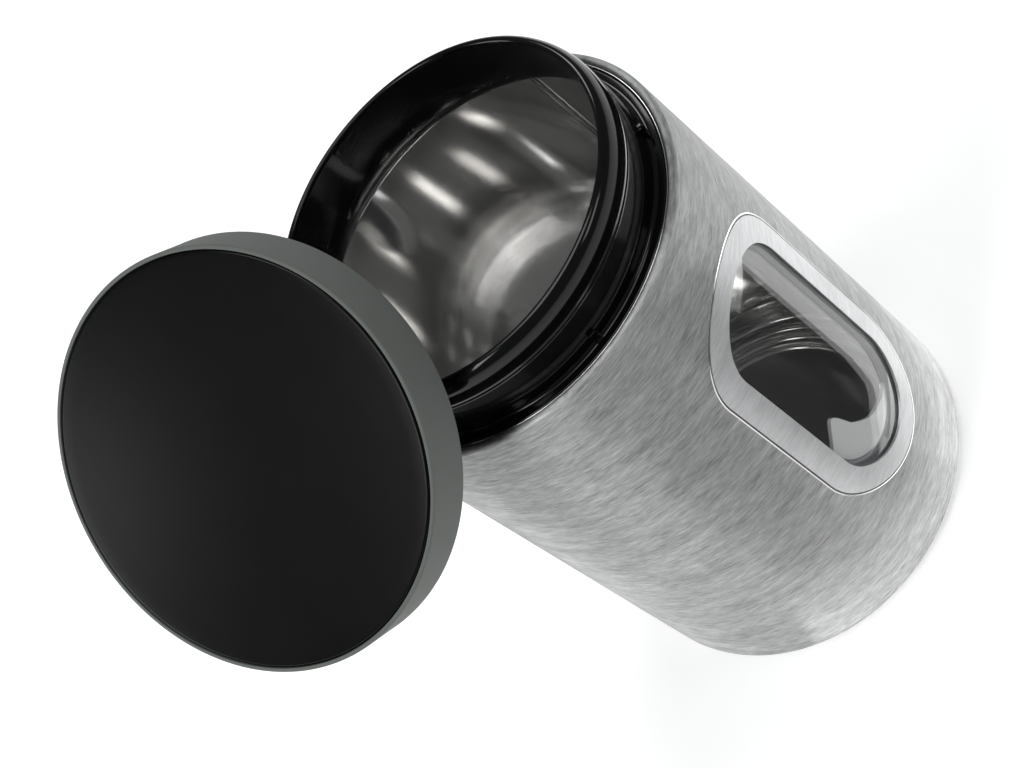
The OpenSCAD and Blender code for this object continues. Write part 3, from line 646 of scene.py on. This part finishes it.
def buildCollar():
    c = collar
    outside = [(c["flange"], c["low"]), (c["flange"], c["foot"] - c["flangeTop"])]
    outside += arc(c["flange"] - c["flangeRound"], c["foot"] - c["flangeRound"], c["flangeRound"],
                   c["flangeRound"], range(0, 91, 30))
    outside += arc(c["neck"] + c["footRound"], c["foot"] + c["footRound"], c["footRound"],
                   c["footRound"], range(270, 179, -18))
    outside.append((c["neck"], c["foot"] + c["footTop"]))
    outside += [(c["neck"] + (c["lip"] - c["neck"]) * t, c["creaseHeight"] + z) for t, z in c["crease"]]
    outside += arc(c["crown"], c["top"] - c["crownDrop"], c["lip"] - c["crown"], c["crownDrop"],
                   range(0, 91, 6))
    high, low = c["top"] - c["mouthDrop"], c["throatEnd"]
    inside = arc(c["crown"], high, c["crown"] - c["mouth"], c["mouthDrop"], range(105, 181, 15))
    for t in (k / 32 for k in range(1, 33)):
        flare = (c["throat"] - c["mouth"]) * t ** c["throatPower"]
        inside.append((c["mouth"] + flare, high + (low - high) * t))
    ledge = c["foot"] - c["ledgeDrop"]
    inside += [(c["ledge"], low), (c["ledge"], ledge), (c["skirt"], ledge), (c["skirt"], c["low"])]
    piece = linkPiece("neckCollar", spunMesh(inMetres(outside + inside)), collarPlastic)
    shadeRound(piece, walls=False)
    finishPiece(piece, "canister", "collar_plastic", "neck_collar")


# a lug is a small frame standing on the neck, hollow like the moulded ones
lug = {"turn": 32.5, "middle": 166.4, "size": (2.4, 2.4, 4.0), "frame": 0.5, "depth": 0.7, "edgeRound": 0.14}


def buildLug(name, turn):
    g = lug
    bm = bmesh.new()
    place = Matrix.Translation(Vector((collar["neck"], 0, g["middle"])) * mm)
    size = Matrix.Diagonal((*(Vector(g["size"]) * mm), 1))
    bmesh.ops.create_cube(bm, size=1.0, matrix=place @ size)
    front = max(bm.faces, key=lambda f: f.calc_center_median().x)
    bmesh.ops.inset_region(bm, faces=[front], thickness=g["frame"] * mm, depth=0, use_even_offset=True)
    bmesh.ops.translate(bm, vec=(-g["depth"] * mm, 0, 0), verts=front.verts)
    sharp = [e for e in bm.edges if e.is_manifold and e.calc_face_angle(0) > radians(30)]
    bevelEdges(bm, sharp, g["edgeRound"])
    piece = linkPiece(name, bm, collarPlastic, Matrix.Rotation(radians(turn), 4, "Z"))
    shadeRound(piece, walls=False)
    finishPiece(piece, "canister", "collar_plastic")


# a thin bright ring between collar and shell
trim = {"inner": 56.9, "outer": 57.4, "low": 160.9, "high": 164.35, "edgeRound": 0.24}


def buildTrim():
    t = trim
    outline = rounded([(t["inner"], t["low"], 0), (t["outer"], t["low"], 0),
                       (t["outer"], t["high"], t["edgeRound"]), (t["inner"], t["high"], t["edgeRound"])], 5)
    piece = linkPiece("trimRing", spunMesh(outline), brightSteel)
    shadeRound(piece, walls=False)
    finishPiece(piece, "canister", "bright_steel", "trim_ring")


buildCollar()
for face in (-90, 90):
    for side in (-1, 1):
        buildLug(f"catchLug_{face + 90}_{side + 1}", face + side * lug["turn"])
buildTrim()
print("neck built")

# lid: its own axis is tilted and held beside the neck; heights of its pieces are along that axis
lid = {"place": (-76.2, 28.02, 202.48), "tilt": 41.1, "lean": 195.1, "edge": 5.0, "ledge": 3.2}
lidPlace = (Matrix.Translation(Vector(lid["place"]) * mm)
            @ Matrix.Rotation(radians(lid["lean"]), 4, "Z") @ Matrix.Rotation(radians(lid["tilt"]), 4, "Y")
            @ Matrix.Translation((0, 0, -lid["edge"] * mm)))
lidRing = {"radius": 55.8, "foot": 56.0, "rim": 54.7, "inner": 54.2, "height": 14.9,
           "footIn": 0.06, "footUp": 2.0, "topDown": 1.5,
           "innerRound": 0.4, "footRound": 0.6, "topRound": 0.5, "rimRound": 0.12}
lidCover = {"radius": 54.55, "edgeRound": 1.0, "crown": 0.7, "cutIn": 0.3, "cutUp": 0.35}


# a piece of the cap, made upright and set at the lid's place
def capPiece(name, bm, material, slot, *replaced):
    piece = linkPiece(name, bm, material, lidPlace)
    shadeRound(piece, walls=False)
    finishPiece(piece, "cap", slot, *replaced)


def buildLid():
    d, g, c = lid, lidRing, lidCover
    bottom = d["edge"] - g["height"]
    ring = rounded([
        (g["inner"], bottom, g["innerRound"]), (g["foot"], bottom, g["footRound"]),
        (g["foot"] - g["footIn"], bottom + g["footUp"], 0), (g["radius"], d["edge"] - g["topDown"], 0),
        (g["radius"], d["edge"], g["topRound"]), (g["rim"], d["edge"], g["rimRound"]),
        (g["rim"], d["ledge"], 0), (g["inner"], d["ledge"], 0)])
    capPiece("lidRing", spunMesh(ring), ringPlasticPaintedLight, "ring_plastic", "lid_ring")
    flat = c["radius"] - c["edgeRound"]
    disc = [(0.0, d["ledge"]), (c["radius"] - c["cutIn"], d["ledge"]), (c["radius"], d["ledge"] + c["cutUp"])]
    disc += arc(flat, d["edge"] - c["edgeRound"], c["edgeRound"], c["edgeRound"], range(0, 91, 9))
    disc += [(flat * (1 - k / 16), d["edge"] + c["crown"] * sin(pi / 2 * k / 16)) for k in range(1, 17)]
    capPiece("lidCover", spunMesh(inMetres(disc)), coverPlastic, "cover_plastic", "lid_cover")


# under the cover: snap hooks, the boss in the drum and the ramp that lets air in
hooks = {"count": 6, "gap": 5.0, "gapRadius": 45.0,
         "outline": ((44.4, 4.0), (44.4, -0.95), (45.6, -0.95), (46.75, -0.2), (45.6, -0.2), (45.6, 4.0))}
boss = {"radius": 8.95, "low": 2.6, "high": 3.8, "edgeRound": 0.2}
ramp = {"turn": 82.0, "near": 33.84, "width": 5.0, "edgeRound": 0.15,
        "outline": ((-3.5, 4.1), (-3.5, 3.1), (0, 1.2), (3.5, 1.2), (3.5, 4.1))}


def buildUnderCover():
    half = pi / hooks["count"] - hooks["gap"] / hooks["gapRadius"]
    for k in range(hooks["count"]):
        middle = 2 * pi * (k + 0.5) / hooks["count"]
        hook = spunMesh(inMetres(hooks["outline"]), 24, middle - half, 2 * half)
        capPiece(f"snapHook_{k}", hook, coverPlastic, "cover_plastic")
    b = boss
    disc = rounded([(0, b["low"], 0), (b["radius"], b["low"], b["edgeRound"]), (b["radius"], b["high"], 0),
                    (0, b["high"], 0)], 4)
    capPiece("coverBoss", spunMesh(disc, 96), coverPlastic, "cover_plastic")
    bm = bmesh.new()
    bm.faces.new([bm.verts.new((0, y * mm, z * mm)) for y, z in ramp["outline"]])
    pushOut(bm, (ramp["width"] * mm, 0, 0))
    turn = Matrix.Rotation(radians(ramp["turn"]), 4, "Z")
    place = lidPlace @ turn @ Matrix.Translation((ramp["near"] * mm, 0, 0))
    piece = linkPiece("releaseRamp", bm, coverPlastic, place)
    softenEdges(piece, ramp["edgeRound"])
    shadeRound(piece, walls=False)
    finishPiece(piece, "cap", "cover_plastic")


# the release valve's spring: a coil that the poppet's head presses down on the deck
spring = {"turns": 4, "steps": 36, "sides": 10, "coil": 2.5, "wire": 0.25, "low": -3.05, "high": 0.85,
          "press": 1.5, "slack": 0.05, "turn": 60, "out": 36.34}


def buildSpring():
    g = spring
    bm = bmesh.new()
    uprightDisc(bm, g["wire"], g["sides"])
    bmesh.ops.translate(bm, vec=Vector((g["coil"], 0, g["low"])) * mm, verts=bm.verts)
    steps = g["turns"] * g["steps"]
    rise = (0, 0, (g["high"] - g["low"]) * mm / steps)
    bmesh.ops.spin(bm, geom=bm.verts[:] + bm.edges[:] + bm.faces[:], cent=(0, 0, 0), axis=(0, 0, 1),
                   dvec=rise, angle=2 * pi * g["turns"], steps=steps, use_merge=False,
                   use_normal_flip=False, use_duplicate=False)
    bmesh.ops.recalc_face_normals(bm, faces=bm.faces)
    turn = Matrix.Rotation(radians(g["turn"]), 4, "Z")
    beside = lidPlace @ turn @ Matrix.Translation((g["out"] * mm, 0, 0))
    piece = linkPiece("releaseSpring", bm, brightSteel, beside)
    shadeRound(piece, walls=False)
    finishPiece(piece, "lid", "bright_steel", "release_spring")
    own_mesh(piece)


buildLid()
buildUnderCover()
buildSpring()
print("lid built")

# the CAD parts that show as they are get their own finishes
cadFinishes = {
    "window_carrier": carrierPlastic, "window_gasket": sealRubber, "liner_cushion": sealRubber,
    "base_plate": basePlastic, "base_pad": padRubber, "collar_gasket": sealRubber,
    "cam_drum": slidePlastic, "lid_base": basePlastic, "mouth_gasket": siliconeGrey,
    "slip_ring": slidePlastic, "pump_piston": greyPlastic, "piston_seal": sealRubber,
    "drive_pins": brightSteel, "intake_valve": siliconeGrey, "exhaust_valve": siliconeGrey,
    "release_valve": greyPlastic, "release_seal": sealRubber}
for name, material in cadFinishes.items():
    mesh = nodes[name].data
    mesh.materials.clear()
    mesh.materials.append(material)
print("CAD parts finished")

# floor and light, in metres: a plain pale floor and large soft lights
white = (1, 1, 1, 1)
floorPaper = {"half": 6.0, "cloud": 3, "dark": (0.9, 0.9, 0.9), "light": (0.92, 0.92, 0.92),
              "rough": 0.8, "gloss": 0.1, "glow": 0.46}
cardPaint = {"height": 0.0004, "colour": (0.01, 0.01, 0.01, 1)}


def plainFloor():
    p = floorPaper
    bm = bmesh.new()
    bmesh.ops.create_grid(bm, x_segments=1, y_segments=1, size=p["half"])
    paper = Finish("floorPaper", Roughness=p["rough"], Specular_IOR_Level=p["gloss"],
                   Emission_Strength=p["glow"], Emission_Color=white)
    cloud = paper.noise(p["cloud"], p["cloud"], 2.0, 0.5)
    paper.feed(Base_Color=paper.blend(cloud, p["dark"], p["light"]))
    linkPiece("floor", bm, paper.material)


# a card on the floor that only mirrors see, a painted reflection: black for a painted dark reflection that
# keeps the floor out of the gloss, glowing white for a painted bright reflection that lifts it
def mirrorCard(name, corners, glow=0.0):
    bm = bmesh.new()
    bm.faces.new([bm.verts.new((x, y, cardPaint["height"])) for x, y in corners])
    bmesh.ops.recalc_face_normals(bm, faces=bm.faces)
    card = Finish(name + "Paint", Roughness=1.0, Specular_IOR_Level=0.0, Emission_Strength=glow,
                  Base_Color=cardPaint["colour"], Emission_Color=white)
    piece = linkPiece(name, bm, card.material)
    piece.visible_camera = piece.visible_diffuse = piece.visible_transmission = piece.visible_shadow = False


# corners of a piece of a flat ring, between two turns in degrees
def sector(inner, outer, first, last, steps=24):
    turns = [first + (last - first) * k / steps for k in range(steps + 1)]
    return arc(0, 0, inner, inner, turns) + arc(0, 0, outer, outer, turns[::-1])


def softLight(name, place, target, size, power):
    light = bpy.data.lights.new(name, "AREA")
    light.shape = "RECTANGLE"
    light.size, light.size_y = size
    light.energy = power
    holder = bpy.data.objects.new(name, light)
    bpy.context.scene.collection.objects.link(holder)
    holder.location = place
    holder.rotation_euler = (Vector(target) - Vector(place)).to_track_quat("-Z", "Y").to_euler()


# a black card before the window: a painted dark reflection in the pane
windowCard = ((0.018, -0.092), (0.038, -0.088), (0.052, -0.092), (0.102, -0.13), (0.108, -0.136),
              (0.06, -0.19), (-0.045, -0.19), (-0.04, -0.088))
# painted reflections in the shell and neck: near edge, far edge, first and last turn, glow
floorCards = {
    "neckCard": (0.203, 0.31, 125, 372, 0.0),
    "lensCard": (0.09, 0.2, 202, 244, 0.5),
    "dimCard": (0.075, 0.203, 75, 122, 0.35),
    "rimCard": (0.16, 0.203, 122, 200, 1.5),
    "sideCard": (0.095, 0.165, -28, 50, 1.6),
    "highCard": (0.165, 0.203, -75, 50, 4.0),
    "footCard": (0.0625, 0.09, 200, 275, 2.2),
    "frontCard": (0.0625, 0.0875, 275, 340, 2.7),
    "cornerCard": (0.0625, 0.09, -20, 50, 1.3),
}
# place, width and height, power
softLights = {
    "topLight": ((0.1, 0.0, 1.7), (0.9, 0.9), 8),
    "backLight": ((1.04, 0.49, 1.05), (0.4, 0.4), 2.6),
    "leftLight": ((-1.1, 0.08, 1.17), (0.5, 0.7), 7),
    "frontLight": ((0.4, -1.3, 1.2), (0.6, 0.4), 2.5),
    "lowLight": ((-0.9, 1.03, 0.5), (0.5, 0.9), 5),
}
lightTarget = (0, 0, 0.1)
sky = {"colour": (0.95, 0.98, 1.0, 1), "strength": 0.15}

plainFloor()
mirrorCard("windowCard", windowCard)
for name, (near, far, first, last, glow) in floorCards.items():
    mirrorCard(name, sector(near, far, first, last), glow)
for name, (place, size, power) in softLights.items():
    softLight(name, place, lightTarget, size, power)
world = bpy.data.worlds.new("studio")
world.use_nodes = True
backdrop = world.node_tree.nodes["Background"].inputs
backdrop["Color"].default_value, backdrop["Strength"].default_value = sky["colour"], sky["strength"]
bpy.context.scene.world = world
print("studio set")
